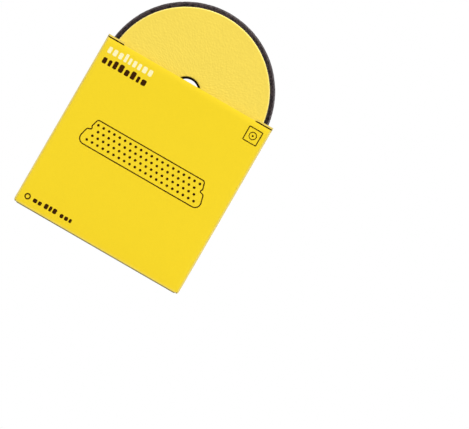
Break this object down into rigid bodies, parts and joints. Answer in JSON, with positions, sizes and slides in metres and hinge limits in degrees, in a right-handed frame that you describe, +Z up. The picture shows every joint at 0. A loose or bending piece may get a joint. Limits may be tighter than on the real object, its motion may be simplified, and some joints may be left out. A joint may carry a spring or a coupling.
{
  "type": "foam polishing pad in card sleeve",
  "caption": "Round foam polishing pad with a loop-fabric backing and a centre hole, half pulled out of a thin folded card sleeve that is open at the top.",
  "frame": {"origin": "middle of the sleeve's underside", "axes": "+X along the sleeve's width, +Y from the printed front panel towards the back panel, +Z up, towards the open mouth"},
  "size_m": [0.0476, 0.0114, 0.0681],
  "materials": {
    "printed_card": "yellow coated card with flat ink, satin",
    "sleeve_card": "yellow coated card, satin, with pale cut edges",
    "dried_glue": "dried white glue, satin",
    "loop_fabric": "pale yellow brushed loop fabric, matte",
    "adhesive_film": "dark adhesive film, satin",
    "dark_foam": "charcoal open-cell foam, matte"
  },
  "bodies": {
    "sleeve": {"front_panel": "printed_card", "back_panel": "sleeve_card", "bottom_panel": "sleeve_card", "left_side_wall": "sleeve_card", "right_side_wall": "sleeve_card", "left_glue_flap": "sleeve_card", "right_glue_flap": "sleeve_card", "left_glue_strip": "dried_glue", "right_glue_strip": "dried_glue"},
    "pad": {"loop_backing": "loop_fabric", "loop_adhesive_film": "adhesive_film", "backing_foam": "dark_foam", "foam_glue_film": "adhesive_film", "cutting_foam": "dark_foam"}
  },
  "joints": [
    {"name": "pad_slide", "type": "slide", "parent": "sleeve", "child": "pad", "axis": [0, 0, 1], "range_m": [-0.0225, 0.0254]}
  ]
}
